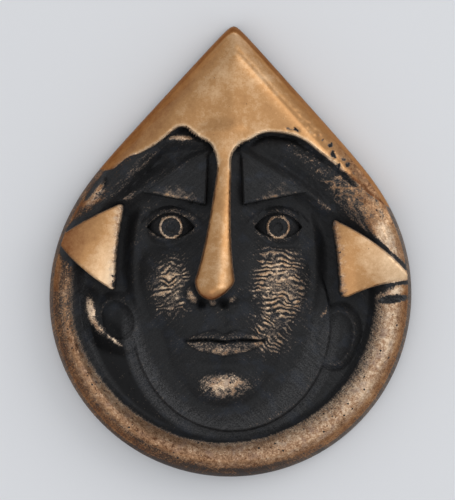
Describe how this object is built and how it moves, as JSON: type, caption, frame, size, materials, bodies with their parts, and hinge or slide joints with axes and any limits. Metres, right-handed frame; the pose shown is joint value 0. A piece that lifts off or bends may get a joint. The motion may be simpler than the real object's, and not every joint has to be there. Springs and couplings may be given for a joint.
{
  "type": "bronze wall mask",
  "caption": "Cast bronze wall mask: a face sunk in a rounded rim under a smooth pointed helmet with a long nose guard and triangular side wings.",
  "frame": {"origin": "middle of the flat back, on the plane it lies on", "axes": "+Z out of the face, +Y towards the point of the helmet, +X to the viewer's right"},
  "size_m": [0.1528, 0.1902, 0.0414],
  "materials": {
    "bronze": "cast bronze, rubbed bright on the high places, black patina in the hollows"
  },
  "bodies": {
    "root": {"mask": "bronze"}
  },
  "joints": []
}
